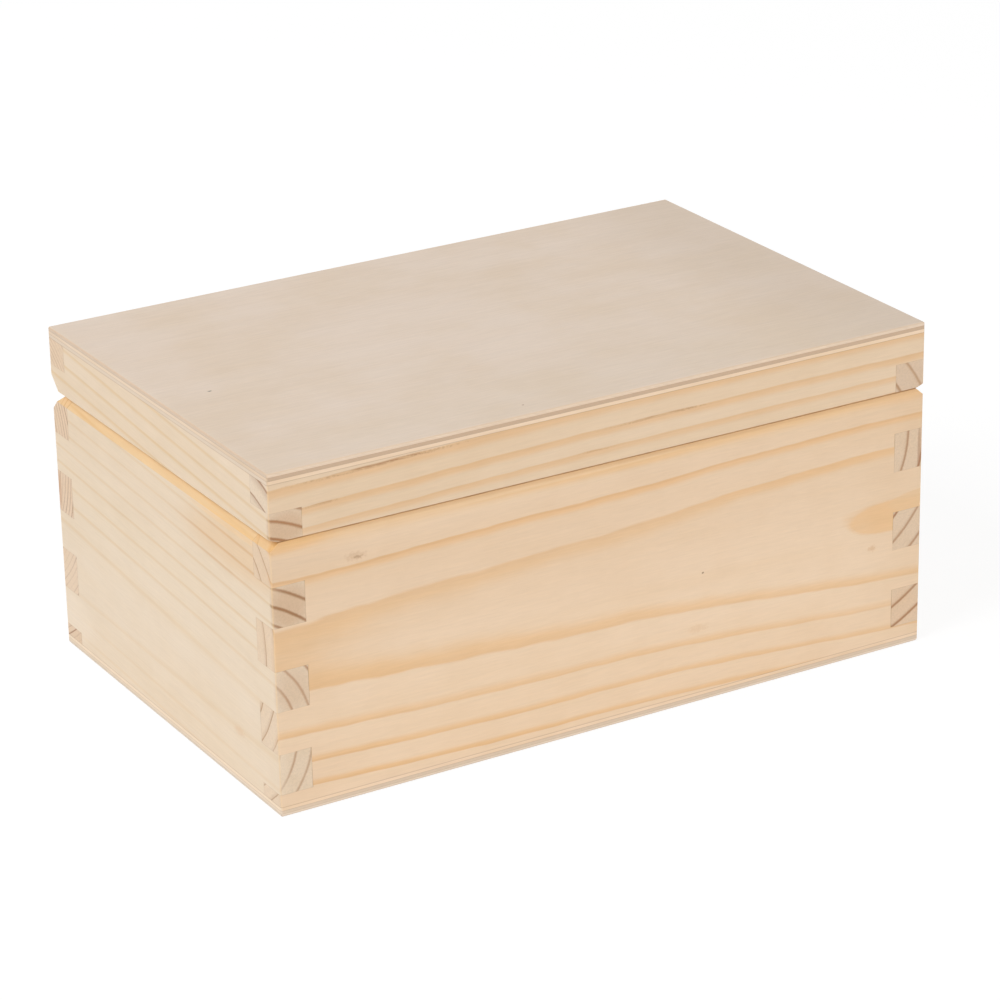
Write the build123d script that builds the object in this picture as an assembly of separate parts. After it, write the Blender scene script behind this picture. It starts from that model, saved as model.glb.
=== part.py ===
from build123d import *
import math
import os

# A pine case with finger-jointed corners and a hinged lid.
# Lengths are in millimetres. The origin is the middle of the underside. X runs along the front,
# Y runs from the front to the hinged back, and Z is up. The lid is closed.

# Case and lid
case_length = 300.0
case_depth = 193.0
wall_height = 109.4
rail_height = 23.5
board_thickness = 14.0
arris = 0.8                  # sanded radius on the corners and the lid's top edges
base_arris = 1.0             # radius under the base panel

# Three-ply panels
base_veneer = 1.4
base_core = 1.3
lid_veneer = 1.5
lid_core = 1.4

# Finger joints, counted down from the top of each wall
front_finger = 17.8
side_finger = 16.9
lid_front_finger = 11.5
least_finger = 3.0           # a shorter end piece is left to the finger above it

# Grooves along the seam between case and lid
side_groove_reach = 4.0
side_groove_drop = 3.5       # into the case
side_groove_rise = 1.5       # into the lid
rear_bevel = 8.0             # 45 degrees on case and lid, for the lid to lean back on
front_seam_arris = 0.3

# Hinges
hinge_length = 25.0
hinge_from_end = 55.0        # case end to the middle of a hinge
leaf_thickness = 0.8
leaf_setback = 0.3           # leaf's long edge behind the inner face of the wall
pin_radius = 0.7
pin_head_radius = 1.1
pin_head_thickness = 0.4
pin_clearance = 0.05         # running fit in the lid leaf
knuckle_count = 5
knuckle_gap = 0.15
barrel_clearance = 0.3       # barrel to the bevels and to the other leaf
mortise_clearance = 0.1

# Hinge screws
screw_spacing = 15.0
screw_length = 9.0           # under the head
screw_point = 2.0
screw_radius = 0.8
screw_head_radius = 1.6
recess_span = 2.0            # cross recess in the head
recess_width = 0.4
recess_depth = 0.4

# Sizes worked out from those above
base_top = 2 * base_veneer + base_core
seam_z = base_top + wall_height
rail_top = seam_z + rail_height
case_top = rail_top + 2 * lid_veneer + lid_core
inner_back_y = case_depth / 2 - board_thickness
bevel_tip_y = case_depth / 2 - rear_bevel
barrel_radius = pin_radius + leaf_thickness
axis_y = bevel_tip_y + math.sqrt(2) * (barrel_radius + barrel_clearance)
screw_y = (inner_back_y + bevel_tip_y) / 2
overrun = 1.0                # how far a cutter runs past the wood


def block(x_low, x_high, y_low, y_high, z_low, z_high):
    """A rectangular block between two corners."""
    middle = Pos((x_low + x_high) / 2, (y_low + y_high) / 2, (z_low + z_high) / 2)
    return middle * Box(x_high - x_low, y_high - y_low, z_high - z_low)


def seam_cutter(face, run, reach, rise, drop):
    """A V along the seam of the right-hand side, its tip set `reach` inside that face."""
    grow = (reach + overrun) / reach
    tip = (face - reach, seam_z)
    upper = (face + overrun, seam_z + rise * grow)
    lower = (face + overrun, seam_z - drop * grow)
    section = make_face(Plane.XZ * Polyline(tip, upper, lower, close=True))
    return extrude(section, run / 2 + overrun, both=True)


# The outline that every board and panel is sanded flush to
outline = block(-case_length / 2, case_length / 2, -case_depth / 2, case_depth / 2, 0, case_top)
outline = fillet(outline.edges() - outline.edges().group_by(Axis.Z)[0], arris)
outline = fillet(outline.edges().group_by(Axis.Z)[0], base_arris)

side_cutter = seam_cutter(
    case_length / 2, case_depth, side_groove_reach, side_groove_rise, side_groove_drop
)
rear_cutter = seam_cutter(case_depth / 2, case_length, rear_bevel, rear_bevel, rear_bevel)
front_cutter = seam_cutter(
    case_depth / 2, case_length, front_seam_arris, front_seam_arris, front_seam_arris
)
grooves = [
    side_cutter,
    Rot(0, 0, 180) * side_cutter,
    Rot(0, 0, 90) * rear_cutter,
    Rot(0, 0, -90) * front_cutter,
]


def sanded(piece):
    """The piece flush with the outline, with the grooves along the seam."""
    piece = piece & outline
    for groove in grooves:
        piece = piece - groove
    return piece


def finger_levels(top, bottom, long_board_finger, short_board_finger):
    """Heights of the short boards' fingers, from the top down, as (lower, upper)."""
    levels = []
    upper = top - long_board_finger
    while upper - bottom > least_finger:
        lower = upper - short_board_finger
        if lower - bottom < least_finger:
            lower = bottom
        levels.append((lower, upper))
        upper = lower - long_board_finger
    return levels


def corner_block(x_side, y_side, lower, upper):
    """One finger: the square corner post between two heights."""
    x = x_side * (case_length - board_thickness) / 2
    y = y_side * (case_depth - board_thickness) / 2
    height = upper - lower
    return Pos(x, y, (lower + upper) / 2) * Box(board_thickness, board_thickness, height)


def long_board(y_side, low, high, levels):
    """A front or back board, with a socket for each finger of the short boards."""
    y = y_side * (case_depth - board_thickness) / 2
    board = Pos(0, y, (low + high) / 2) * Box(case_length, board_thickness, high - low)
    for x_side in (-1, 1):
        for lower, upper in levels:
            board = board - corner_block(x_side, y_side, lower, upper)
    return sanded(board)


def short_board(x_side, low, high, levels):
    """A left or right board, with its fingers at both ends."""
    x = x_side * (case_length - board_thickness) / 2
    span = case_depth - 2 * board_thickness
    board = Pos(x, 0, (low + high) / 2) * Box(board_thickness, span, high - low)
    for y_side in (-1, 1):
        for lower, upper in levels:
            board = board + corner_block(x_side, y_side, lower, upper)
    return sanded(board)


def ply(low, thickness):
    """One layer of a panel, as large as the case."""
    return sanded(Pos(0, 0, low + thickness / 2) * Box(case_length, case_depth, thickness))


def screw_blank(x, into):
    """A countersunk screw flush with the seam, before its recess is struck. It is also the cutter
    for its own hole. `into` is -1 down into the case and 1 up into the lid."""
    tip_z = -leaf_thickness - screw_length
    profile = Polyline(
        (0, 0),
        (screw_head_radius, 0),
        (screw_radius, -leaf_thickness),
        (screw_radius, tip_z + screw_point),
        (0, tip_z),
        close=True,
    )
    body = revolve(make_face(Plane.XZ * profile), Axis.Z)
    if into > 0:
        body = Rot(180, 0, 0) * body
    return Pos(x, screw_y, seam_z) * body


def screw(x, into):
    """The finished screw, with a cross recess in its head."""
    body = screw_blank(x, into)
    for turn in (0, 90):
        slot = Rot(0, 0, turn) * Box(recess_span, recess_width, 2 * recess_depth)
        body = body - Pos(x, screw_y, seam_z) * slot
    return body


def rod(x, radius, length):
    """A round bar on the hinge axis, its middle at x."""
    return Pos(x, axis_y, seam_z) * Rot(0, 90, 0) * Cylinder(radius, length)


def hinge_leaf(x, into, bore_radius, screw_places):
    """A leaf with its knuckles. The case leaf (into -1) has the first, third and fifth knuckle."""
    first_x = x - hinge_length / 2
    far_z = seam_z + into * leaf_thickness
    z_low = min(seam_z, far_z)
    z_high = max(seam_z, far_z)
    edge_y = inner_back_y + leaf_setback
    leaf = block(first_x, first_x + hinge_length, edge_y, axis_y, z_low, z_high)
    leaf = leaf + rod(x, barrel_radius, hinge_length)
    pitch = hinge_length / knuckle_count
    room = barrel_radius + barrel_clearance
    for place in range(knuckle_count):
        own = (place % 2 == 0) == (into < 0)
        if not own:
            low_x = first_x + place * pitch - knuckle_gap / 2
            high_x = low_x + pitch + knuckle_gap
            gap = block(low_x, high_x, axis_y - room, axis_y + room, seam_z - room, seam_z + room)
            leaf = leaf - gap
    leaf = leaf - rod(x, bore_radius, hinge_length + 2 * overrun)
    for place in screw_places:
        leaf = leaf - screw_blank(place, into)
    return leaf


def hinge_pin(x):
    """A pin as long as the barrel, with a small head at each end."""
    pin = rod(x, pin_radius, hinge_length)
    for end in (-1, 1):
        head_x = x + end * (hinge_length + pin_head_thickness) / 2
        pin = pin + rod(head_x, pin_head_radius, pin_head_thickness)
    return pin


def mortise(x, into):
    """The shallow recess that a leaf lies in, open to the inside and to the rear bevel."""
    half = hinge_length / 2 + mortise_clearance
    far_z = seam_z + into * leaf_thickness
    z_low = min(seam_z, far_z)
    z_high = max(seam_z, far_z)
    return block(x - half, x + half, inner_back_y - overrun, axis_y, z_low, z_high)


nodes = {}

# Case walls
case_levels = finger_levels(seam_z, base_top, front_finger, side_finger)
nodes["front_board"] = long_board(-1, base_top, seam_z, case_levels)
nodes["back_board"] = long_board(1, base_top, seam_z, case_levels)
nodes["left_board"] = short_board(-1, base_top, seam_z, case_levels)
nodes["right_board"] = short_board(1, base_top, seam_z, case_levels)

# Base panel
nodes["base_lower_veneer"] = ply(0, base_veneer)
nodes["base_core"] = ply(base_veneer, base_core)
nodes["base_upper_veneer"] = ply(base_veneer + base_core, base_veneer)

# Lid rails
lid_levels = finger_levels(rail_top, seam_z, lid_front_finger, rail_height - lid_front_finger)
nodes["lid_front_rail"] = long_board(-1, seam_z, rail_top, lid_levels)
nodes["lid_back_rail"] = long_board(1, seam_z, rail_top, lid_levels)
nodes["lid_left_rail"] = short_board(-1, seam_z, rail_top, lid_levels)
nodes["lid_right_rail"] = short_board(1, seam_z, rail_top, lid_levels)

# Lid panel
nodes["lid_lower_veneer"] = ply(rail_top, lid_veneer)
nodes["lid_core"] = ply(rail_top + lid_veneer, lid_core)
nodes["lid_upper_veneer"] = ply(rail_top + lid_veneer + lid_core, lid_veneer)

# Hinges, each let into the back board and the back rail
hinge_x = case_length / 2 - hinge_from_end
fasteners = {-1: [], 1: []}
for side, x in (("left", -hinge_x), ("right", hinge_x)):
    screw_places = (x - screw_spacing / 2, x + screw_spacing / 2)
    nodes[f"{side}_hinge_pin"] = hinge_pin(x)
    for into, part_name, wood, bore_radius in (
        (-1, "case_leaf", "back_board", pin_radius),
        (1, "lid_leaf", "lid_back_rail", pin_radius + pin_clearance),
    ):
        nodes[f"{side}_hinge_{part_name}"] = hinge_leaf(x, into, bore_radius, screw_places)
        nodes[wood] = nodes[wood] - mortise(x, into)
        for place in screw_places:
            nodes[wood] = nodes[wood] - screw_blank(place, into)
            fasteners[into].append(screw(place, into))
nodes["case_hinge_screws"] = Compound(fasteners[-1])
nodes["lid_hinge_screws"] = Compound(fasteners[1])

os.makedirs("parts", exist_ok=True)
for name, shape in nodes.items():
    export_step(shape, f"parts/{name}.step")
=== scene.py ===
import math

import bpy
from mathutils import Matrix, Vector

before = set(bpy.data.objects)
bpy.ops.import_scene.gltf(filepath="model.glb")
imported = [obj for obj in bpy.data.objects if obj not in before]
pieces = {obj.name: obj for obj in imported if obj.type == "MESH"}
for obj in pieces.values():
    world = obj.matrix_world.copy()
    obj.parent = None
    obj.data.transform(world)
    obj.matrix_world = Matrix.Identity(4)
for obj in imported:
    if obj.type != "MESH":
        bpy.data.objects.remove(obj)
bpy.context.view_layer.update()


# Front board. A flat-sawn pine board, 14 mm thick, with the bark side out, sanded and left bare.
# Its figure is worked out from the rings of the tree that it was sawn from, so the face, the edges
# and the end grain agree. The left and right boards' fingers are glued into its ends.
MM = 0.001
case_half_length = 150 * MM
case_half_depth = 96.5 * MM
board_thickness = 14 * MM
base_top = 4.1 * MM
seam_height = 113.5 * MM
long_finger = 17.8 * MM
short_finger = 16.9 * MM


def tone(red, green, blue):
    """A colour from its 0-255 screen values, as the shaders take it, by the sRGB curve."""
    shares = [value / 255 for value in (red, green, blue)]
    linear = [s / 12.92 if s <= 0.04045 else ((s + 0.055) / 1.055) ** 2.4 for s in shares]
    return (*linear, 1.0)


def shader_node(tree, kind, feeds, **settings):
    """A node with its settings. Each feed is a number, a colour or another node's output."""
    made = tree.nodes.new(kind)
    for setting, value in settings.items():
        setattr(made, setting, value)
    for socket, source in feeds.items():
        if isinstance(source, bpy.types.NodeSocket):
            tree.links.new(source, made.inputs[socket])
        else:
            made.inputs[socket].default_value = source
    return made


def tree_of(*values):
    """The node tree that the outputs among these values belong to."""
    return next(value.id_data for value in values if isinstance(value, bpy.types.NodeSocket))


def maths(operation, *values, clamp=False):
    """One step of arithmetic on numbers, of which at least one is a node's output."""
    tree = tree_of(*values)
    feeds = dict(enumerate(values))
    return shader_node(tree, "ShaderNodeMath", feeds, operation=operation, use_clamp=clamp).outputs[0]


def plus(first, second):
    """Their sum."""
    return maths("ADD", first, second)


def minus(first, second):
    """The first less the second."""
    return maths("SUBTRACT", first, second)


def times(first, second, clamp=False):
    """Their product."""
    return maths("MULTIPLY", first, second, clamp=clamp)


def times_plus(value, factor, extra):
    """The value times a factor, plus something extra."""
    return maths("MULTIPLY_ADD", value, factor, extra)


def size_of(value):
    """The value without its sign."""
    return maths("ABSOLUTE", value)


def vectors(operation, *values):
    """One step of arithmetic on vectors. A scale goes in the fourth socket."""
    feeds = dict(enumerate(values))
    if operation == "SCALE":
        feeds = {0: values[0], 3: values[1]}
    made = shader_node(tree_of(*values), "ShaderNodeVectorMath", feeds, operation=operation)
    return made.outputs["Value" if operation in ("DOT_PRODUCT", "LENGTH") else "Vector"]


def parts_of(vector):
    """A vector's X, Y and Z."""
    return shader_node(tree_of(vector), "ShaderNodeSeparateXYZ", {"Vector": vector}).outputs


def here(tree):
    """Where a point lies in the case, as Object, and which way its surface faces, as Normal."""
    return shader_node(tree, "ShaderNodeTexCoord", {}).outputs


def smooth_step(value, low, high, at_low=0.0, at_high=1.0):
    """A soft change from one level to another as the value goes from low to high."""
    feeds = {"Value": value, "From Min": low, "From Max": high, "To Min": at_low, "To Max": at_high}
    made = shader_node(tree_of(value), "ShaderNodeMapRange", feeds, interpolation_type="SMOOTHSTEP")
    return made.outputs[0]


def blend_colours(share, first, second, way="MIX"):
    """The second colour laid over the first, by share."""
    feeds = {0: share, 6: first, 7: second}
    made = shader_node(tree_of(share), "ShaderNodeMix", feeds, data_type="RGBA", blend_type=way)
    return made.outputs[2]


def toned(colour, share, strength, new_colour):
    """A colour with another laid over it, given by its screen values."""
    return blend_colours(times(share, strength), colour, tone(*new_colour))


def stained(colour, share, strength, stain):
    """A colour darkened by a stain, which multiplies its red, green and blue."""
    return blend_colours(times(share, strength), colour, (*stain, 1.0), "MULTIPLY")


def cloud(place, scale, detail, seed):
    """Soft noise from 0 to 1 at a place in the wood. Its scale is in clouds to a metre."""
    feeds = {"Vector": place, "W": seed, "Scale": scale, "Detail": detail, "Roughness": 0.55}
    return shader_node(tree_of(place), "ShaderNodeTexNoise", feeds, noise_dimensions="4D").outputs[0]


def effect_group(name, inputs, outputs):
    """An empty node group with named inputs and outputs."""
    group = bpy.data.node_groups.new(name, "ShaderNodeTree")
    for label, value in inputs.items():
        kind = "NodeSocketFloat"
        if isinstance(value, tuple):
            kind = "NodeSocketVector" if len(value) == 3 else "NodeSocketColor"
        group.interface.new_socket(label, in_out="INPUT", socket_type=kind).default_value = value
    for label, kind in outputs.items():
        group.interface.new_socket(label, in_out="OUTPUT", socket_type="NodeSocket" + kind)
    return group, group.nodes.new("NodeGroupInput").outputs


def hand_out(group, results):
    """Joins a group's results to its outputs."""
    shader_node(group, "NodeGroupOutput", results)


def use_effect(tree, group, **feeds):
    """A group placed in a material with this material's own values."""
    made = shader_node(tree, "ShaderNodeGroup", {}, node_tree=group)
    for label, source in feeds.items():
        socket = made.inputs[label.replace("_", " ")]
        if isinstance(source, bpy.types.NodeSocket):
            tree.links.new(source, socket)
        else:
            socket.default_value = source
    return made.outputs


# The tree's rings round its heart line. Late wood darkens slowly outwards and ends at once, and its
# last part is a hard line. The rings sway and are a little fuzzy, drawn out along the grain.
sway_along_grain = 0.55      # of a length along the grain: the smaller, the longer drawn out
fibre_along_grain = 0.05
broad_sway_scale = 22.0
fine_sway_scale = 110.0
fuzz_scale = 1100.0
fuzz_depth = 0.35 * MM
full_tone_share = 0.33       # of the late wood
hard_line_widths = 2.2       # how far before a ring's end its hard line begins, in edge widths
across_grain = (0.55, 0.85)  # how squarely a face cuts the grain, from long grain to end grain
growth_rings, given = effect_group(
    "growth rings",
    {
        "Heart": (0.0, 0.0, 0.0),
        "Grain": (1.0, 0.0, 0.0),
        "Ring width": 7 * MM,
        "First ring": 0.0,
        "Late share": 0.36,
        "Late edge": 0.9 * MM,
        "Wander": 1.5 * MM,
        "Ripple": 0.25 * MM,
        "Widening": 0.0,
        "Seed": 0.0,
    },
    {
        "Late wood": "Float",
        "Ring edge": "Float",
        "End grain": "Float",
        "Fibre place": "Vector",
        "Ring tone": "Float",
    },
)
where = here(growth_rings)
from_heart = vectors("SUBTRACT", where["Object"], given["Heart"])
along = vectors("DOT_PRODUCT", from_heart, given["Grain"])
along_grain = vectors("SCALE", given["Grain"], along)
outwards = vectors("SUBTRACT", from_heart, along_grain)
sway_place = vectors("ADD", outwards, vectors("SCALE", along_grain, sway_along_grain))
fibre_place = vectors("ADD", outwards, vectors("SCALE", along_grain, fibre_along_grain))
broad_sway = cloud(sway_place, broad_sway_scale, detail=0.0, seed=given["Seed"])
fine_sway = cloud(sway_place, fine_sway_scale, detail=1.0, seed=given["Seed"])
fuzz = cloud(fibre_place, fuzz_scale, detail=2.0, seed=given["Seed"])
radius = vectors("LENGTH", outwards)
radius = plus(radius, times(minus(broad_sway, 0.5), given["Wander"]))
radius = plus(radius, times(minus(fine_sway, 0.5), given["Ripple"]))
radius = plus(radius, times(minus(fuzz, 0.5), fuzz_depth))
years = maths("DIVIDE", minus(radius, given["First ring"]), given["Ring width"])
years = minus(years, times(times(years, years), given["Widening"]))
season = maths("FRACT", years)
late_start = minus(1.0, given["Late share"])
late_full = times_plus(given["Late share"], -full_tone_share, 1.0)
edge_share = maths("DIVIDE", given["Late edge"], given["Ring width"])
edge_start = minus(1.0, edge_share)
line_start = times_plus(edge_share, -hard_line_widths, 1.0)
ending = smooth_step(season, edge_start, 1.0, at_low=1.0, at_high=0.0)
late_wood = times(smooth_step(season, late_start, late_full), ending)
ring_edge = times(smooth_step(season, line_start, edge_start), ending)
ring_number = plus(maths("FLOOR", years), given["Seed"])
ring_tone = shader_node(
    growth_rings, "ShaderNodeTexWhiteNoise", {"W": ring_number}, noise_dimensions="1D"
).outputs["Value"]
facing = vectors("DOT_PRODUCT", where["Normal"], given["Grain"])
end_grain = smooth_step(size_of(facing), *across_grain)
hand_out(
    growth_rings,
    {
        "Late wood": late_wood,
        "Ring edge": ring_edge,
        "End grain": end_grain,
        "Fibre place": fibre_place,
        "Ring tone": ring_tone,
    },
)

# Wood fibres: short coarse and fine streaks along the grain, slow patches, and open pores.
fine_fibres = 3.1            # how many go to one coarse fibre's width
slow_patches = 0.07          # likewise
coarse_weight = 0.6
fine_weight = 0.4
fibre_contrast = 0.2
open_pores = (0.66, 0.74)    # of the fine fibres' noise
wood_fibres, given = effect_group(
    "wood fibres",
    {"Fibre place": (0.0, 0.0, 0.0), "Fibre width": 0.8 * MM, "Strength": 1.0, "Seed": 0.0},
    {"Tone": "Float", "Patch": "Float", "Pore": "Float", "Height": "Float"},
)
fibre_scale = maths("DIVIDE", 1.0, given["Fibre width"])
fine_scale = times(fibre_scale, fine_fibres)
patch_scale = times(fibre_scale, slow_patches)
coarse = cloud(given["Fibre place"], fibre_scale, detail=2.0, seed=given["Seed"])
fine = cloud(given["Fibre place"], fine_scale, detail=1.0, seed=given["Seed"])
patch = cloud(given["Fibre place"], patch_scale, detail=2.0, seed=given["Seed"])
fibre_height = plus(times(coarse, coarse_weight), times(fine, fine_weight))
swing = times(minus(fibre_height, 0.5), given["Strength"])
fibre_tone = times_plus(swing, fibre_contrast, 1.0)
pore = smooth_step(fine, *open_pores)
hand_out(wood_fibres, {"Tone": fibre_tone, "Patch": patch, "Pore": pore, "Height": fibre_height})

# Where boards meet: the thin glue line round each finger and along the panel, and the shade in the
# seam. The long fingers are those of the front and back boards, and the short ones of the sides.
line_core = 0.4              # the share of a glue line's width that has its full tone
level_line_strength = 0.4    # a finger's level joints beside its upright one
break_scale = 130.0          # the lines are broken, with this many gaps to a metre
panel_line = (0.3 * MM, 0.08 * MM)  # how far from its middle it has faded out, and is still full
panel_line_strength = 0.6
seam_line = (0.45 * MM, 0.1 * MM)   # likewise
flat_face = (0.8, 0.95)      # how level a face is, from one that shows lines to one that does not
joint_lines, given = effect_group(
    "joint lines",
    {
        "Seam": seam_height,
        "Top": seam_height,
        "Panel": base_top,
        "Long finger": long_finger,
        "Short finger": short_finger,
        "Line width": 0.16 * MM,
        "Seed": 0.0,
    },
    {"Glue line": "Float", "Seam shade": "Float"},
)
where = here(joint_lines)
spot = parts_of(where["Object"])
slope = parts_of(where["Normal"])
half_line = given["Line width"]
full_line = times(half_line, line_core)
past_x = minus(size_of(spot["X"]), case_half_length - board_thickness)
past_y = minus(size_of(spot["Y"]), case_half_depth - board_thickness)
past_root = maths("MINIMUM", past_x, past_y)
pitch = plus(given["Long finger"], given["Short finger"])
down = maths("MODULO", minus(given["Top"], spot["Z"]), pitch)
to_step = minus(down, given["Long finger"])
to_ends = maths("MINIMUM", size_of(down), minus(pitch, down))
to_level = maths("MINIMUM", size_of(to_step), to_ends)
in_corner = maths("GREATER_THAN", past_root, times(half_line, -1.0))
level_line = times(smooth_step(to_level, half_line, full_line), in_corner)
short_level = maths("GREATER_THAN", to_step, 0.0)
on_side = maths("GREATER_THAN", size_of(slope["X"]), 0.5)
side_level = minus(1.0, short_level)
crossing = shader_node(
    joint_lines, "ShaderNodeMix", {0: on_side, 2: short_level, 3: side_level}
).outputs[0]
root_line = times(smooth_step(size_of(past_root), half_line, full_line), crossing)
glue = maths("MAXIMUM", times(level_line, level_line_strength), root_line)
broken = cloud(where["Object"], break_scale, detail=2.0, seed=given["Seed"])
glue = times(glue, smooth_step(broken, low=0.38, high=0.62, at_low=0.15))
off_panel = size_of(minus(spot["Z"], given["Panel"]))
glue = maths("MAXIMUM", glue, times(smooth_step(off_panel, *panel_line), panel_line_strength))
upright_face = smooth_step(size_of(slope["Z"]), *flat_face, at_low=1.0, at_high=0.0)
glue = times(glue, upright_face)
off_seam = size_of(minus(spot["Z"], given["Seam"]))
seam_shade = times(smooth_step(off_seam, *seam_line), upright_face)
seam_shade = times(seam_shade, smooth_step(broken, low=0.3, high=0.7, at_low=0.6))
hand_out(joint_lines, {"Glue line": glue, "Seam shade": seam_shade})

# Edges eased with fine paper, where the normals lean between two faces. On the wood, the tone
# laid over them is painted light, which evens out the highlight that their rounding catches.
square_face = 0.01           # a face whose normal leans less than this is no edge
eased_edges, given = effect_group("eased edges", {"Softness": 0.12}, {"Edge": "Float"})
lean = parts_of(vectors("ABSOLUTE", here(eased_edges)["Normal"]))
squarest = maths("MAXIMUM", maths("MAXIMUM", lean["X"], lean["Y"]), lean["Z"])
off_square = minus(1.0, squarest)
hand_out(eased_edges, {"Edge": smooth_step(off_square, square_face, given["Softness"])})

# A mark laid on the wood, such as a pin knot, a resin fleck, a dark run of late wood, or a broad
# tint where the board is paler or warmer. Some broad tints are painted shade and light, where a face
# is darker or paler because of how the light falls. It is full inside its core and fades out to its
# reach.
rag_scale = 900.0
wood_and_light_mark, given = effect_group(
    "wood and light mark",
    {"Middle": (0.0, 0.0, 0.0), "Reach": (MM, MM, MM), "Ragged": 0.35, "Core": 0.3, "Seed": 0.0},
    {"Mark": "Float"},
)
where = here(wood_and_light_mark)
reach = vectors("SUBTRACT", where["Object"], given["Middle"])
reach = vectors("LENGTH", vectors("DIVIDE", reach, given["Reach"]))
rag = minus(cloud(where["Object"], rag_scale, detail=2.0, seed=given["Seed"]), 0.5)
reach = plus(reach, times(rag, given["Ragged"]))
hand_out(wood_and_light_mark, {"Mark": smooth_step(reach, 1.0, given["Core"])})


def wandering_heart(spot_x, shares):
    """How far the tree's heart line lies from its straight course. The shares of 10 mm are for
    evenly spaced points from the left end of the board to the right."""
    feeds = {"Value": spot_x, "From Min": -case_half_length, "From Max": case_half_length}
    share = shader_node(tree_of(spot_x), "ShaderNodeMapRange", feeds).outputs[0]
    curve = shader_node(tree_of(spot_x), "ShaderNodeFloatCurve", {"Value": share})
    points = curve.mapping.curves[0].points
    points[0].location = (0.0, shares[0])
    points[1].location = (1.0, shares[-1])
    for number, value in enumerate(shares[1:-1], 1):
        points.new(number / (len(shares) - 1), value)
    curve.mapping.update()
    return times(curve.outputs[0], 10 * MM)


def add_marks(tree, colour, marks, seed, within=None):
    """Lays marks over a colour: soft tints, crisp patches, ragged specks, and late wood, ring edges
    and broken runs that keep within the rings. A mark has a kind, a middle and a reach each way in
    millimetres, a colour and a depth."""
    for kind, middle, reach, mark_colour, depth in marks:
        mark = use_effect(
            tree,
            wood_and_light_mark,
            Middle=Vector(middle) * MM,
            Reach=Vector(reach) * MM,
            Ragged=1.6 if kind in ("speck", "run") else 0.1,
            Core=0.82 if kind == "patch" else 0.3,
            Seed=seed,
        )["Mark"]
        mark = times(mark, depth)
        if within and kind in within:
            mark = times(mark, within[kind])
        colour = blend_colours(mark, colour, tone(*mark_colour))
    return colour


def empty_tree(owner):
    """An empty node tree in a material or the world."""
    owner.use_nodes = True
    owner.node_tree.nodes.clear()
    return owner.node_tree


def end_in_surface(tree, feeds):
    """Ends a material in its surface."""
    surface = shader_node(tree, "ShaderNodeBsdfPrincipled", feeds)
    shader_node(tree, "ShaderNodeOutputMaterial", {"Surface": surface.outputs[0]})


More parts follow.
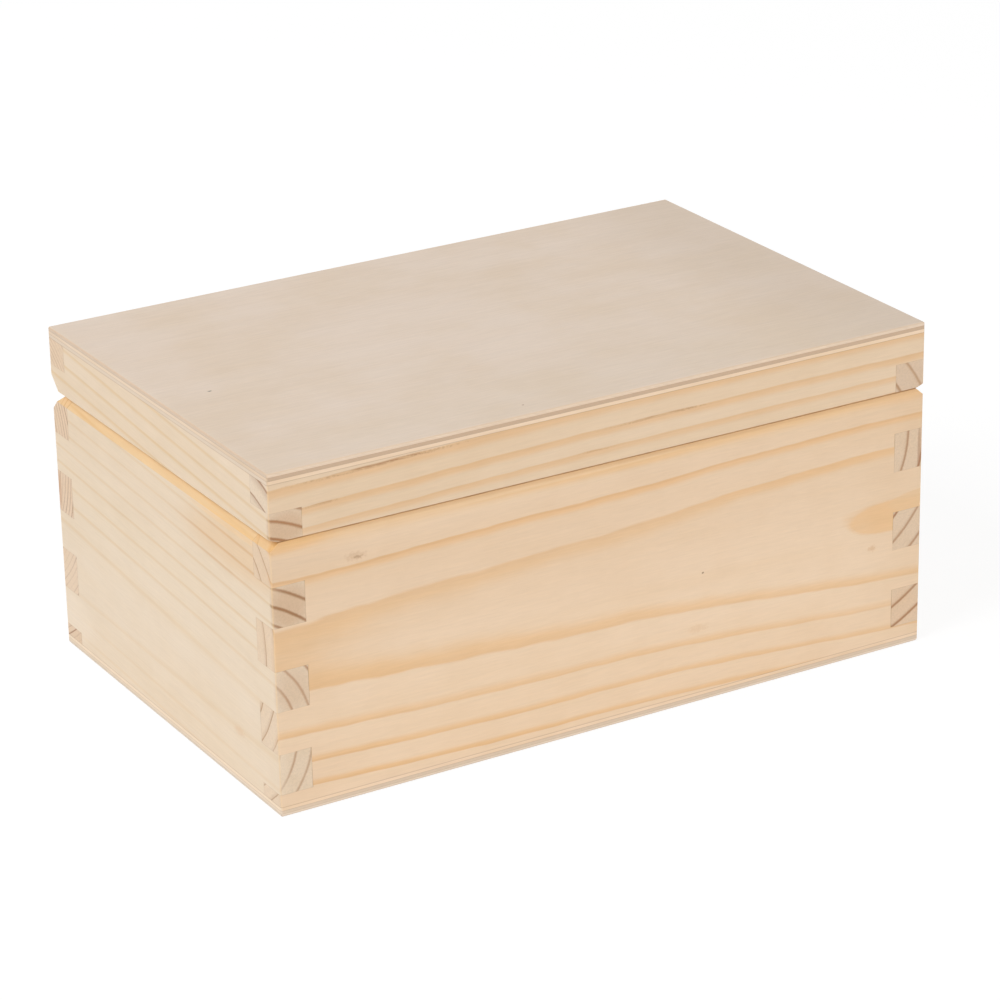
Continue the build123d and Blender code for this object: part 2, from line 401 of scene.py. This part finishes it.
def pine(
    name,
    heart,
    grain,
    ring_width,
    first_ring,
    colours,
    seed,
    joints,
    wander=1.5,
    ripple=0.25,
    late_share=0.36,
    late_edge=0.9,
    widening=0.0,
    evenness=(0.45, 0.3),
    marks=(),
    heart_wander=None,
    groove_tint_and_light=None,
):
    """Bare sanded pine. Places and lengths are in millimetres in the case, and the colours are those
    of early wood, late wood, its hard edge, end grain and the rings in it. The rings widen outwards
    by widening, and evenness is the least strength of a ring and its spread from ring to ring. The
    heart wanders back and up along the board. The groove tint and light multiplies the colour in
    the side groove: partly the warmer tone of its sawn face, partly painted shade and light."""
    material = bpy.data.materials.new(name)
    tree = empty_tree(material)
    where = here(tree)
    early, late, hard_edge, end_early, end_late = colours
    heart = Vector(heart) * MM
    if heart_wander:
        spot_x = parts_of(where["Object"])["X"]
        back, up = [wandering_heart(spot_x, shares) for shares in heart_wander]
        shift = shader_node(tree, "ShaderNodeCombineXYZ", {"Y": back, "Z": up}).outputs[0]
        heart = vectors("ADD", shift, tuple(heart))
    rings = use_effect(
        tree,
        growth_rings,
        Heart=heart,
        Grain=Vector(grain).normalized(),
        Ring_width=ring_width * MM,
        First_ring=first_ring * MM,
        Late_share=late_share,
        Late_edge=late_edge * MM,
        Wander=wander * MM,
        Ripple=ripple * MM,
        Widening=widening,
        Seed=seed,
    )
    fibres = use_effect(tree, wood_fibres, Fibre_place=rings["Fibre place"], Seed=seed)
    lines = use_effect(tree, joint_lines, Seed=seed, **joints)
    edge = use_effect(tree, eased_edges)["Edge"]

    # A ring has a strength of its own, and fades and returns along the board.
    least_strength, spread = evenness
    fading = cloud(where["Object"], scale=16.0, detail=1.0, seed=seed)
    strength = times_plus(rings["Ring tone"], factor=spread, extra=least_strength)
    strength = plus(strength, times(fading, 0.6))
    late_wood = times(rings["Late wood"], strength, clamp=True)
    ring_edge = times(rings["Ring edge"], strength, clamp=True)
    colour = blend_colours(late_wood, tone(*early), tone(*late))
    colour = toned(colour, ring_edge, strength=0.3, new_colour=hard_edge)

    # In end grain the hard edge of a ring shows most, and the cut fibres are speckled.
    end_ring = times_plus(late_wood, factor=0.3, extra=times(ring_edge, 0.7))
    end_colour = blend_colours(end_ring, tone(*end_early), tone(*end_late))
    speckle = times_plus(fibres["Height"], factor=0.24, extra=0.88)
    colour = blend_colours(rings["End grain"], colour, vectors("SCALE", end_colour, speckle))

    broken_run = times(smooth_step(fibres["Height"], low=0.36, high=0.6), ring_edge)
    within = {"late": late_wood, "edge": ring_edge, "run": broken_run}
    colour = add_marks(tree, colour, marks, seed, within)

    # Warm patches, a fine mottle and open pores all darken the wood a little.
    warm = smooth_step(fibres["Patch"], low=0.35, high=0.7)
    mottle = cloud(where["Object"], scale=55.0, detail=3.0, seed=seed)
    mottle = smooth_step(mottle, low=0.38, high=0.68)
    colour = stained(colour, warm, strength=0.5, stain=(0.97, 0.94, 0.88))
    colour = stained(colour, mottle, strength=0.5, stain=(0.97, 0.955, 0.93))
    colour = stained(colour, fibres["Pore"], strength=0.25, stain=(0.9, 0.82, 0.7))
    colour = vectors("SCALE", colour, fibres["Tone"])
    # Painted light: a darker, warmer tone on the eased edges that tones down their highlight.
    colour = toned(colour, edge, strength=0.3, new_colour=(236, 200, 154))
    colour = toned(colour, lines["Glue line"], strength=0.62, new_colour=(156, 112, 74))
    colour = toned(colour, lines["Seam shade"], strength=0.75, new_colour=(160, 110, 64))
    if groove_tint_and_light:
        # Partly the sawn face's warmer tone, and partly painted light: warm shade on the case, and on
        # the lid rails a brightening of a face that looks down.
        lean = parts_of(vectors("ABSOLUTE", where["Normal"]))
        in_groove = smooth_step(times(lean["X"], lean["Z"]), low=0.1, high=0.25)
        colour = blend_colours(in_groove, colour, (*groove_tint_and_light, 1.0), "MULTIPLY")

    # Late wood stands proud after sanding, and the glue lines lie low.
    glue_dip = times(lines["Glue line"], 2.0)
    height = minus(times_plus(late_wood, factor=0.5, extra=fibres["Height"]), glue_dip)
    bump = shader_node(
        tree, "ShaderNodeBump", {"Height": height, "Strength": 0.35, "Distance": 0.05 * MM}
    )
    end_in_surface(
        tree,
        {
            "Base Color": colour,
            "Roughness": times_plus(late_wood, factor=-0.08, extra=0.62),
            "Normal": bump.outputs[0],
            "Specular IOR Level": 0.3,
        },
    )
    return material


def finish_with(name, material):
    """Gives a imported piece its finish."""
    pieces[name].material_slots[0].material = material


case_joints = {
    "Seam": seam_height,
    "Top": seam_height,
    "Panel": base_top,
    "Long_finger": long_finger,
    "Short_finger": short_finger,
}
finish_with(
    "front_board",
    pine(
        "front pine",
        heart=(0, -49.3, 60.5),
        grain=(1, 0, 0),
        ring_width=8.2,
        first_ring=48.2,
        widening=-0.035,
        colours=[(234, 208, 179), (231, 192, 146), (217, 174, 129), (228, 206, 181), (184, 146, 112)],
        seed=3.0,
        joints=case_joints,
        wander=1.3,
        ripple=0.8,
        late_share=0.37,
        late_edge=0.55,
        # The groove and corner facets warmer: partly their sawn tone, partly painted shade under the
        # lid's groove.
        groove_tint_and_light=(0.98, 0.93, 0.78),
        heart_wander=(
            [0.72, 0.68, 0.615, 0.58, 0.535, 0.49, 0.4, 0.29, 0.19, 0.06, 0.0],
            [0.46, 0.365, 0.34, 0.32, 0.315, 0.32, 0.3, 0.26, 0.2, 0.1, 0.0],
        ),
        marks=[
            # Painted shade: the upper part of the board darker, as the light falls off towards the
            # top.
            ("tint", (0, -96.5, 115), (420, 80, 78), (222, 192, 160), 0.42),
            ("tint", (160, -96.5, 62), (52, 40, 110), (222, 190, 154), 0.3),
            ("tint", (70, -96.5, 14), (110, 4, 22), (234, 206, 175), 0.2),
            ("tint", (30, -96.5, 41), (190, 4, 15), (235, 209, 180), 0.2),
            ("tint", (-150, -96.5, 16), (46, 4, 17), (222, 190, 156), 0.3),
            ("tint", (-150, -96.5, 60), (42, 4, 24), (220, 182, 140), 0.25),
            ("tint", (-150, -96.5, 104), (40, 4, 12), (216, 188, 158), 0.22),
            ("late", (0, -96.5, 100.6), (420, 4, 9), (231, 182, 126), 0.6),
            ("edge", (0, -96.5, 100.6), (420, 4, 9), (200, 150, 104), 0.26),
            ("late", (90, -96.5, 90), (120, 4, 8), (231, 183, 127), 0.35),
            ("late", (-150, -96.5, 25), (80, 4, 24), (232, 184, 128), 0.25),
            ("edge", (-150, -96.5, 25), (80, 4, 24), (200, 150, 104), 0.16),
            ("tint", (-90, -96.5, 108.2), (120, 4, 3.4), (232, 205, 175), 0.75),
            ("tint", (0, -96.5, 113.0), (420, 4, 5.6), (234, 194, 144), 0.6),
            ("tint", (0, -96.5, 113.3), (420, 4, 2.0), (206, 158, 108), 0.45),
            ("tint", (150, -96.5, 111.5), (40, 4, 5), (228, 184, 136), 0.35),
            ("tint", (-144, -96.5, 112.0), (28, 4, 5), (233, 180, 114), 0.5),
            ("patch", (134, -96.5, 60), (22, 4, 7.4), (231, 191, 145), 0.8),
            ("patch", (152, -96.5, 64.5), (20, 4, 5), (228, 192, 150), 0.7),
            ("edge", (-150, -89.5, 104), (3, 12, 12), (170, 116, 64), 0.5),
            ("speck", (-114, -96.5, 100.5), (6, 4, 2.4), (196, 156, 120), 0.3),
            ("speck", (-113.3, -96.5, 100.1), (2.8, 4, 0.9), (150, 108, 76), 0.4),
            ("speck", (125.6, -96.5, 47.5), (2.4, 4, 1.8), (208, 160, 110), 0.4),
            ("speck", (40, -96.5, 32.5), (6, 4, 2.2), (216, 176, 134), 0.25),
            ("speck", (42.6, -96.5, 56.3), (0.7, 2, 0.6), (120, 84, 58), 0.8),
        ],
    ),
)


# Left board. Pine, sawn so that the heart lies outside its left face, so its lines run almost
# straight and drop a little towards the front. Its fingers fill the sockets of the front and back
# boards and show their end grain there. A V groove is planed along its top.
finish_with(
    "left_board",
    pine(
        "left pine",
        heart=(-175, -96.5, 33.5),
        grain=(3.1, 193, 8.7),
        ring_width=6.75,
        first_ring=27.3,
        colours=[(231, 213, 190), (227, 203, 169), (220, 191, 155), (224, 203, 178), (181, 141, 110)],
        seed=11.0,
        joints=case_joints,
        wander=0.8,
        late_share=0.26,
        # The groove warmer and darker: partly its sawn tone, partly painted shade and bounce light.
        groove_tint_and_light=(1.0, 0.94, 0.78),
        marks=[
            ("late", (-150, -62, 98.5), (4, 56, 12), (206, 158, 112), 0.75),
            ("edge", (-150, -62, 98.5), (4, 56, 12), (196, 146, 100), 0.45),
            ("late", (-150, 70, 108), (4, 24, 5), (214, 168, 120), 0.5),
            # Painted shade: the board darker towards its top, as the light falls off upwards.
            ("tint", (-150, 0, 112), (60, 260, 42), (224, 200, 172), 0.3),
            ("tint", (-150, -68, 100), (4, 60, 14), (226, 188, 142), 0.42),
            ("tint", (-150, -66, 109), (4, 50, 2.4), (236, 200, 154), 0.6),
            # Painted light: the board paler towards its bottom.
            ("tint", (-150, 0, 28), (6, 320, 46), (233, 215, 193), 0.5),
            ("tint", (-150, 92, 15), (4, 36, 15), (241, 226, 208), 0.55),
            ("speck", (-150, -63.5, 23.5), (3, 6, 2.6), (222, 180, 140), 0.3),
            ("edge", (-143, -96.5, 87), (13, 3, 14), (112, 70, 34), 0.85),
            ("tint", (-143, -96.5, 87), (13, 3, 14), (190, 144, 100), 0.45),
            ("tint", (-143, -96.5, 52), (13, 3, 14), (190, 144, 106), 0.18),
        ],
    ),
)


# Right board. Pine, cut and jointed like the left board. Its heart lies inside the case, so the end
# grain of its fingers curves the other way.
finish_with(
    "right_board",
    pine(
        "right pine",
        heart=(97, -96.5, 96),
        grain=(0.01, 1, -0.03),
        ring_width=8.2,
        first_ring=46.7,
        colours=[(233, 208, 180), (229, 195, 153), (218, 178, 135), (220, 195, 168), (166, 120, 84)],
        seed=19.0,
        joints=case_joints,
        wander=0.6,
        late_share=0.36,
        # The groove warmer and darker: partly its sawn tone, partly painted shade and bounce light.
        groove_tint_and_light=(1.0, 0.94, 0.78),
        marks=[
            ("tint", (143, -96.5, 17), (13, 3, 14), (242, 186, 136), 0.1),
            ("edge", (143, -96.5, 17), (13, 3, 14), (136, 84, 46), 0.2),
            ("tint", (148.4, -96.5, 87), (1.1, 3, 18), (166, 122, 94), 0.5),
        ],
    ),
)


# Back board. Slow-grown pine with narrow rings, jointed like the front board. Its top outer edge is
# bevelled for the lid to lean back on, and recessed for the hinges.
finish_with(
    "back_board",
    pine(
        "back pine",
        heart=(0, 143.5, 88),
        grain=(1, 0.01, 0.02),
        ring_width=2.6,
        first_ring=0.0,
        colours=[(232, 208, 181), (224, 190, 153), (212, 174, 134), (226, 201, 175), (160, 116, 86)],
        seed=27.0,
        joints=case_joints,
        # The groove warmer and darker: partly its sawn tone, partly painted shade and bounce light.
        groove_tint_and_light=(1.0, 0.94, 0.78),
        wander=0.8,
        late_share=0.5,
        late_edge=0.4,
        evenness=(-0.15, 0.9),
        marks=[
            ("tint", (-150, 90, 34), (6, 16, 18), (232, 210, 186), 0.6),
            ("tint", (-150, 97, 70), (6, 5, 14), (186, 132, 96), 0.5),
        ],
    ),
)


# Base panel. Three-ply birch, glued under the boards and sanded flush. The outer veneers run along
# the case and the core runs across it, so each edge shows long grain and end grain in turn.
along_case = (1, 0, 0)
across_case = (0, 1, 0)


def birch(name, heart, grain, levels, colours, seed, painted_edge_tone, figure=0.4, streaks=0.8, marks=()):
    """A ply of bare birch. Levels are the heights of its glue lines, in millimetres, and the colours
    are those of the light and dark parts of its figure and of its end grain."""
    material = bpy.data.materials.new(name)
    tree = empty_tree(material)
    where = here(tree)
    light, dark, end_colour = [tone(*screen_values) for screen_values in colours]
    rings = use_effect(
        tree,
        growth_rings,
        Heart=Vector(heart) * MM,
        Grain=Vector(grain).normalized(),
        Ring_width=3.2 * MM,
        Late_share=0.7,
        Late_edge=0.8 * MM,
        Wander=9 * MM,
        Seed=seed,
    )
    fibres = use_effect(
        tree,
        wood_fibres,
        Fibre_place=rings["Fibre place"],
        Fibre_width=0.6 * MM,
        Strength=streaks,
        Seed=seed,
    )
    edge = use_effect(tree, eased_edges)["Edge"]

    # The figure, then warm patches, a broad mottle and open pores that darken it a little.
    colour = blend_colours(times(rings["Late wood"], figure), light, dark)
    warm = smooth_step(fibres["Patch"], low=0.35, high=0.7)
    mottle = cloud(where["Object"], scale=24.0, detail=5.0, seed=seed)
    mottle = smooth_step(mottle, low=0.36, high=0.7)
    colour = stained(colour, warm, strength=0.4, stain=(0.97, 0.945, 0.91))
    colour = stained(colour, mottle, strength=0.9, stain=(0.96, 0.935, 0.88))
    colour = stained(colour, fibres["Pore"], strength=0.3, stain=(0.88, 0.8, 0.7))
    colour = add_marks(tree, colour, marks, seed)
    colour = blend_colours(rings["End grain"], colour, end_colour)
    colour = vectors("SCALE", colour, fibres["Tone"])
    # Painted light: the eased edges take this ply's edge tone, which evens out their highlight.
    colour = toned(colour, edge, strength=0.6, new_colour=painted_edge_tone)

    # A thin line of glue shows on the edges, above and below each ply.
    spot_z = parts_of(where["Object"])["Z"]
    slope_z = parts_of(where["Normal"])["Z"]
    upright_face = smooth_step(size_of(slope_z), low=0.5, high=0.8, at_low=1.0, at_high=0.0)
    for level in levels:
        off_glue = size_of(minus(spot_z, level * MM))
        glue = times(smooth_step(off_glue, low=0.16 * MM, high=0.04 * MM), upright_face)
        colour = toned(colour, glue, strength=0.35, new_colour=(158, 122, 92))

    bump = shader_node(
        tree, "ShaderNodeBump", {"Height": fibres["Height"], "Strength": 0.25, "Distance": 0.04 * MM}
    )
    end_in_surface(
        tree,
        {
            "Base Color": colour,
            "Roughness": 0.58,
            "Normal": bump.outputs[0],
            "Specular IOR Level": 0.3,
        },
    )
    return material


base_heart = (0, 0, -70)
base_levels = (1.4, 2.7, 4.1)
finish_with(
    "base_lower_veneer",
    birch(
        "lower veneer",
        heart=base_heart,
        grain=along_case,
        levels=base_levels,
        colours=[(232, 215, 196), (224, 205, 184), (222, 208, 192)],
        seed=31.0,
        painted_edge_tone=(226, 207, 187),
    ),
)
finish_with(
    "base_core",
    birch(
        "base core",
        heart=base_heart,
        grain=across_case,
        levels=base_levels,
        colours=[(232, 214, 194), (223, 206, 184), (217, 196, 173)],
        seed=35.0,
        painted_edge_tone=(232, 214, 194),
    ),
)
finish_with(
    "base_upper_veneer",
    birch(
        "upper veneer",
        heart=base_heart,
        grain=along_case,
        levels=base_levels,
        colours=[(238, 213, 186), (228, 199, 168), (239, 219, 194)],
        seed=33.0,
        painted_edge_tone=(236, 214, 190),
    ),
)


# Lid rails. Four pine rails, finger-jointed like the case with one finger to a corner. The front
# rail has two dark runs of late wood, the side rails have a shallow groove along the seam, painted
# paler than their faces as painted light, since the groove looks down and takes little light, and
# the back rail has a bevel on its lower edge.
rail_top = 137 * MM
lid_joints = {
    "Seam": seam_height,
    "Top": rail_top,
    "Panel": rail_top,
    "Long_finger": 11.5 * MM,
    "Short_finger": 12.0 * MM,
}
finish_with(
    "lid_front_rail",
    pine(
        "front rail pine",
        heart=(0, -74.5, 77.8),
        grain=(1, 0, 0),
        ring_width=7.8,
        first_ring=54.5,
        widening=0.11,
        colours=[(227, 202, 173), (225, 188, 147), (214, 176, 134), (226, 207, 185), (166, 124, 94)],
        seed=43.0,
        joints=lid_joints,
        wander=0.9,
        ripple=0.8,
        late_share=0.56,
        late_edge=0.7,
        heart_wander=(
            [0.5, 0.45, 0.4, 0.35, 0.3, 0.25, 0.2, 0.15, 0.1, 0.05, 0.0],
            [0.0, 0.06, 0.1, 0.16, 0.2, 0.22, 0.22, 0.2, 0.19, 0.17, 0.14],
        ),
        marks=[
            ("run", (-106, -96.5, 136.0), (40, 4, 3.0), (150, 100, 60), 0.7),
            ("run", (20, -96.5, 128.5), (28, 4, 2.6), (150, 100, 60), 0.6),
            ("run", (-129, -96.5, 125.6), (11, 4, 2.0), (170, 120, 78), 0.55),
            ("run", (-6, -96.5, 120.6), (11, 4, 2.0), (176, 124, 80), 0.5),
        ],
    ),
)
finish_with(
    "lid_left_rail",
    pine(
        "left rail pine",
        heart=(-165, -96.5, 63.5),
        grain=(0, 1, 0.071),
        ring_width=6.7,
        first_ring=55.2,
        colours=[(229, 209, 185), (225, 199, 162), (218, 187, 148), (224, 202, 176), (165, 118, 80)],
        seed=51.0,
        joints=lid_joints,
        wander=0.5,
        late_share=0.36,
        # Painted light: the groove looks down and takes little light, so it is painted paler.
        groove_tint_and_light=(1.08, 1.06, 1.0),
        marks=[
            ("edge", (-143, -96.5, 119), (14, 3, 10), (134, 78, 28), 0.75),
            ("tint", (-143, -96.5, 119), (14, 3, 10), (192, 144, 100), 0.42),
        ],
    ),
)
finish_with(
    "lid_right_rail",
    pine(
        "right rail pine",
        heart=(93, -96.5, 85.5),
        grain=(0, 1, 0.03),
        ring_width=9.2,
        first_ring=54.4,
        colours=[(232, 206, 177), (228, 192, 151), (214, 172, 128), (215, 190, 165), (182, 144, 110)],
        seed=59.0,
        joints=lid_joints,
        wander=0.5,
        late_share=0.3,
        # Painted light: the groove looks down and takes little light, so it is painted paler.
        groove_tint_and_light=(1.08, 1.06, 1.0),
    ),
)
finish_with(
    "lid_back_rail",
    pine(
        "back rail pine",
        heart=(0, 131, 85),
        grain=(1, 0.01, 0.01),
        ring_width=2.2,
        first_ring=0.0,
        colours=[(231, 207, 180), (223, 189, 152), (212, 174, 134), (226, 202, 176), (182, 142, 112)],
        seed=67.0,
        joints=lid_joints,
        wander=0.8,
        late_share=0.5,
        late_edge=0.4,
        evenness=(-0.2, 0.6),
    ),
)


# Lid panel. The same three-ply birch, glued on top of the rails. The upper veneer was peeled from
# the log, so its figure is broad and faint, and it has two dark specks.
lid_heart = (0, 0, 60)
lid_levels = (137.0, 138.5, 139.9)
# Painted shade on the lid panel's eased edges, darker than its faces, to tone down their highlight.
lid_painted_edge_tone = (216, 188, 158)
finish_with(
    "lid_upper_veneer",
    birch(
        "top veneer",
        heart=lid_heart,
        grain=along_case,
        levels=lid_levels,
        colours=[(235, 217, 200), (226, 205, 183), (211, 189, 167)],
        seed=71.0,
        painted_edge_tone=lid_painted_edge_tone,
        figure=0.05,
        streaks=1.25,
        marks=[
            # Painted shade: the right end of the top darker, as the light from the left falls off.
            ("tint", (160, 0, 141.4), (80, 300, 20), (206, 188, 169), 0.3),
            ("tint", (20, -110, 141.4), (220, 90, 20), (219, 201, 175), 0.16),
            ("tint", (0, -97.2, 140.2), (420, 1.6, 1.5), (224, 196, 166), 0.7),
            ("tint", (106, 62, 141.4), (44, 14, 20), (216, 192, 164), 0.14),
            ("tint", (120, -44, 141.4), (34, 14, 20), (216, 192, 164), 0.14),
            ("speck", (-128.4, -7, 141.4), (1.1, 0.6, 2), (80, 62, 48), 0.85),
            ("speck", (-34, -87, 141.4), (0.7, 0.5, 2), (150, 96, 66), 0.7),
        ],
    ),
)
finish_with(
    "lid_lower_veneer",
    birch(
        "inner veneer",
        heart=lid_heart,
        grain=along_case,
        levels=lid_levels,
        colours=[(238, 213, 186), (228, 199, 168), (221, 202, 181)],
        seed=77.0,
        painted_edge_tone=lid_painted_edge_tone,
    ),
)
finish_with(
    "lid_core",
    birch(
        "lid core",
        heart=lid_heart,
        grain=across_case,
        levels=lid_levels,
        colours=[(230, 209, 186), (212, 188, 162), (200, 172, 145)],
        seed=83.0,
        painted_edge_tone=lid_painted_edge_tone,
    ),
)


# Hinges. Two small brass butt hinges, stamped and rolled from 0.8 mm strip, let into the back.
# The pins are brass wire with small heads. The strip keeps faint rolling lines, and its edges are
# rubbed bright.
rubbed_brass = (0.95, 0.8, 0.5, 1.0)
line_depth = 0.16            # in roughness


def brass(name, colour, dull, lines_to_a_metre, roughness):
    """Plain brass with fine lines from its making, dulled in patches where nothing rubs it."""
    material = bpy.data.materials.new(name)
    tree = empty_tree(material)
    where = here(tree)
    rolling_place = vectors("MULTIPLY", where["Object"], lines_to_a_metre)
    rolling = cloud(rolling_place, scale=1.0, detail=2.0, seed=5.0)
    tarnish = cloud(where["Object"], scale=260.0, detail=3.0, seed=9.0)
    tarnish = smooth_step(tarnish, low=0.4, high=0.75)
    edge = use_effect(tree, eased_edges)["Edge"]
    base = toned(tone(*colour), tarnish, strength=0.5, new_colour=dull)
    base = blend_colours(times(edge, 0.15), base, rubbed_brass)
    lined = times_plus(rolling, factor=line_depth, extra=roughness - line_depth / 2)
    bump = shader_node(
        tree, "ShaderNodeBump", {"Height": rolling, "Strength": 0.12, "Distance": 0.02 * MM}
    )
    end_in_surface(
        tree,
        {
            "Base Color": base,
            "Metallic": 1.0,
            "Roughness": times_plus(tarnish, factor=0.12, extra=lined),
            "Normal": bump.outputs[0],
        },
    )
    return material


leaf_brass = brass("leaf brass", (180, 152, 106), (152, 122, 80), (90.0, 5200.0, 5200.0), 0.48)
pin_brass = brass("pin brass", (186, 156, 104), (150, 120, 78), (5200.0, 700.0, 700.0), 0.42)
for side in ("left", "right"):
    finish_with(f"{side}_hinge_case_leaf", leaf_brass)
    finish_with(f"{side}_hinge_lid_leaf", leaf_brass)
    finish_with(f"{side}_hinge_pin", pin_brass)


# Hinge screws. Small countersunk brass screws with cross recesses, turned bright. Two hold each
# leaf, flush with the seam.
screw_brass = brass("screw brass", (196, 168, 116), (146, 116, 74), (2600.0, 2600.0, 2600.0), 0.4)
finish_with("case_hinge_screws", screw_brass)
finish_with("lid_hinge_screws", screw_brass)


# Studio. A white floor under a white room. The floor glows only to the camera and in reflections,
# and keeps a faint shadow. A broad soft lamp stands at the left, and weaker ones at front and back.
floor_half = 6.0             # in metres, as are all places here
floor_paper = (0.88, 0.88, 0.88, 1.0)
floor_glow = 1.1
floor_glow_share = 0.79      # of what is seen directly; the rest is paper, which takes the shadow
room_light = 0.45
pure_white = (1, 1, 1, 1)
aim_point = Vector((0, 0, 0.07))


def seen_directly(tree):
    """1 where the camera, a reflection or clear glass looks, and 0 for light on its way."""
    rays = shader_node(tree, "ShaderNodeLightPath", {}).outputs
    seen = maths("MAXIMUM", rays["Is Camera Ray"], rays["Is Glossy Ray"])
    return maths("MAXIMUM", seen, rays["Is Transmission Ray"])


def studio_floor():
    """The floor's own mesh and material."""
    mesh = bpy.data.meshes.new("studio floor")
    signs = [(-1, -1), (1, -1), (1, 1), (-1, 1)]
    corners = [(x * floor_half, y * floor_half, 0) for x, y in signs]
    mesh.from_pydata(corners, [], [(0, 1, 2, 3)])
    floor = bpy.data.objects.new("studio_floor", mesh)
    bpy.context.scene.collection.objects.link(floor)
    material = bpy.data.materials.new("studio white")
    tree = empty_tree(material)
    paper = shader_node(tree, "ShaderNodeBsdfDiffuse", {"Color": floor_paper})
    glow = shader_node(tree, "ShaderNodeEmission", {"Color": pure_white, "Strength": floor_glow})
    glow_share = times(seen_directly(tree), floor_glow_share)
    mix = shader_node(
        tree, "ShaderNodeMixShader", {0: glow_share, 1: paper.outputs[0], 2: glow.outputs[0]}
    )
    shader_node(tree, "ShaderNodeOutputMaterial", {"Surface": mix.outputs[0]})
    mesh.materials.append(material)
    return floor


studio_floor()

room = bpy.data.worlds.new("studio room")
bpy.context.scene.world = room
room_tree = empty_tree(room)
brightness = times_plus(seen_directly(room_tree), factor=1 - room_light, extra=room_light)
sky = shader_node(room_tree, "ShaderNodeBackground", {"Color": pure_white, "Strength": brightness})
shader_node(room_tree, "ShaderNodeOutputWorld", {"Surface": sky.outputs[0]})


def soft_lamp(name, place, across, watts):
    """A square soft lamp aimed at the case."""
    data = bpy.data.lights.new(name, "AREA")
    data.shape = "SQUARE"
    data.size = across
    data.energy = watts
    lamp = bpy.data.objects.new(name, data)
    lamp.location = place
    lamp.rotation_euler = (aim_point - Vector(place)).to_track_quat("-Z", "Y").to_euler()
    bpy.context.scene.collection.objects.link(lamp)


soft_lamp("left_lamp", place=(-2.34, -0.3, 2.2), across=1.8, watts=56.2)
soft_lamp("front_lamp", place=(1.36, -3.4, 0.62), across=1.2, watts=46.0)
soft_lamp("back_lamp", place=(1.9, 3.0, 0.11), across=0.2, watts=18.0)


# Camera. A long lens from the front left, a little above the lid, tipped sideways by about a degree.
# Its place is in metres and its angles are in degrees.
camera_place = (-0.74280, -1.28379, 0.67610)
turned_right = 30.242
looking_down = 22.426
tipped = 1.151
camera_data = bpy.data.cameras.new("camera")
camera_data.lens = 139.647
camera_data.sensor_width = 36.0
camera = bpy.data.objects.new("camera", camera_data)
turn = Matrix.Rotation(math.radians(-turned_right), 4, "Z")
tip = Matrix.Rotation(math.radians(90 - looking_down), 4, "X")
roll = Matrix.Rotation(math.radians(-tipped), 4, "Z")
camera.matrix_world = Matrix.Translation(camera_place) @ turn @ tip @ roll
bpy.context.scene.collection.objects.link(camera)
bpy.context.scene.camera = camera
bpy.context.scene.view_settings.view_transform = "Standard"

bpy.context.view_layer.update()
